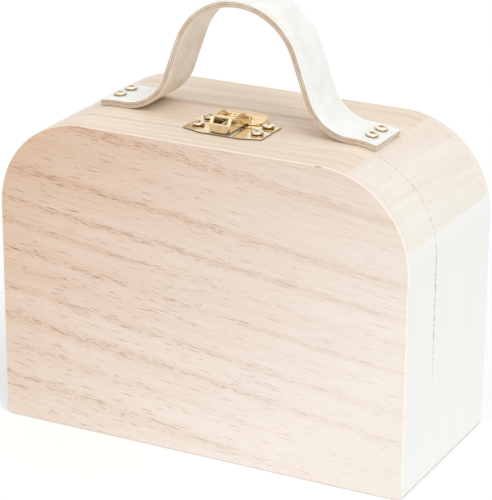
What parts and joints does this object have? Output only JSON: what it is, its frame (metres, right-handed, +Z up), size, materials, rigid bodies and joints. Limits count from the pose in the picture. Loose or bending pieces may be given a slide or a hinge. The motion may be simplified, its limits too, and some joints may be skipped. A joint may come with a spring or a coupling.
{
  "type": "wooden suitcase box",
  "caption": "Small wooden suitcase box: deep base and shallow lid hinged along the bottom, rounded top corners, leather strap handle and brass toggle latch.",
  "frame": {"origin": "middle of the footprint of the closed box, on its bottom face", "axes": "+Z up through the handle, +X along the width with the front face's right hand at +X, -Y out of the front face, which is the lid"},
  "size_m": [0.2, 0.091, 0.2021],
  "materials": {
    "panel_wood": "bare sanded light hardwood board, grain along X with fine darker pores",
    "rail_wood": "bare sanded light hardwood, grain along X",
    "corner_wood": "bare sanded light hardwood moulding, grain along the case's depth",
    "side_wood": "bare sanded light hardwood board, upright grain on the sides",
    "leather": "smooth cream leather with pressed edge lines",
    "leather_lining": "tan leather lining with a raw edge",
    "latch_brass": "polished brass-plated sheet",
    "hinge_brass": "dull brass-plated sheet",
    "brass_screw": "polished brass-plated screw"
  },
  "bodies": {
    "base": {"back_panel": "panel_wood", "base_top_rail": "rail_wood", "base_corner_left": "corner_wood", "base_corner_right": "corner_wood", "base_side_left": "side_wood", "base_side_right": "side_wood", "base_bottom_rail": "side_wood", "handle_strap_outer": "leather", "handle_strap_lining": "leather_lining", "handle_screw_1": "brass_screw", "handle_screw_2": "brass_screw", "handle_screw_3": "brass_screw", "handle_screw_4": "brass_screw", "latch_lever_plate": "latch_brass", "latch_lever_plate_screw_1": "brass_screw", "latch_lever_plate_screw_2": "brass_screw", "latch_lever_pin": "latch_brass", "hinge_base_leaf_left": "hinge_brass", "hinge_base_leaf_right": "hinge_brass", "hinge_base_screw_1": "brass_screw", "hinge_base_screw_2": "brass_screw", "hinge_base_screw_3": "brass_screw", "hinge_base_screw_4": "brass_screw", "hinge_pin_left": "hinge_brass", "hinge_pin_right": "hinge_brass"},
    "lid": {"front_panel": "panel_wood", "lid_top_rail": "rail_wood", "lid_corner_left": "corner_wood", "lid_corner_right": "corner_wood", "lid_side_left": "side_wood", "lid_side_right": "side_wood", "lid_bottom_rail": "side_wood", "latch_catch_plate": "latch_brass", "latch_catch_screw_1": "brass_screw", "latch_catch_screw_2": "brass_screw", "hinge_lid_leaf_left": "hinge_brass", "hinge_lid_leaf_right": "hinge_brass", "hinge_lid_screw_1": "brass_screw", "hinge_lid_screw_2": "brass_screw", "hinge_lid_screw_3": "brass_screw", "hinge_lid_screw_4": "brass_screw"},
    "lever": {"latch_lever": "latch_brass", "latch_loop_pin": "latch_brass"},
    "loop": {"latch_loop": "latch_brass"}
  },
  "joints": [
    {"name": "lid_hinge", "type": "hinge", "parent": "base", "child": "lid", "pos_m": [0, -0.016, 0.0011], "axis": [1, 0, 0], "range_deg": [0, 100]},
    {"name": "lever_pivot", "type": "hinge", "parent": "base", "child": "lever", "pos_m": [0.0025, -0.0141, 0.1496], "axis": [1, 0, 0], "range_deg": [0, 85]},
    {"name": "loop_pivot", "type": "hinge", "parent": "lever", "child": "loop", "pos_m": [0.0025, -0.0096, 0.1491], "axis": [1, 0, 0], "range_deg": [-98, 0]}
  ],
  "couplings": [
    {"joint": "loop_pivot", "follows": "lever_pivot", "ratio": -1.15}
  ]
}
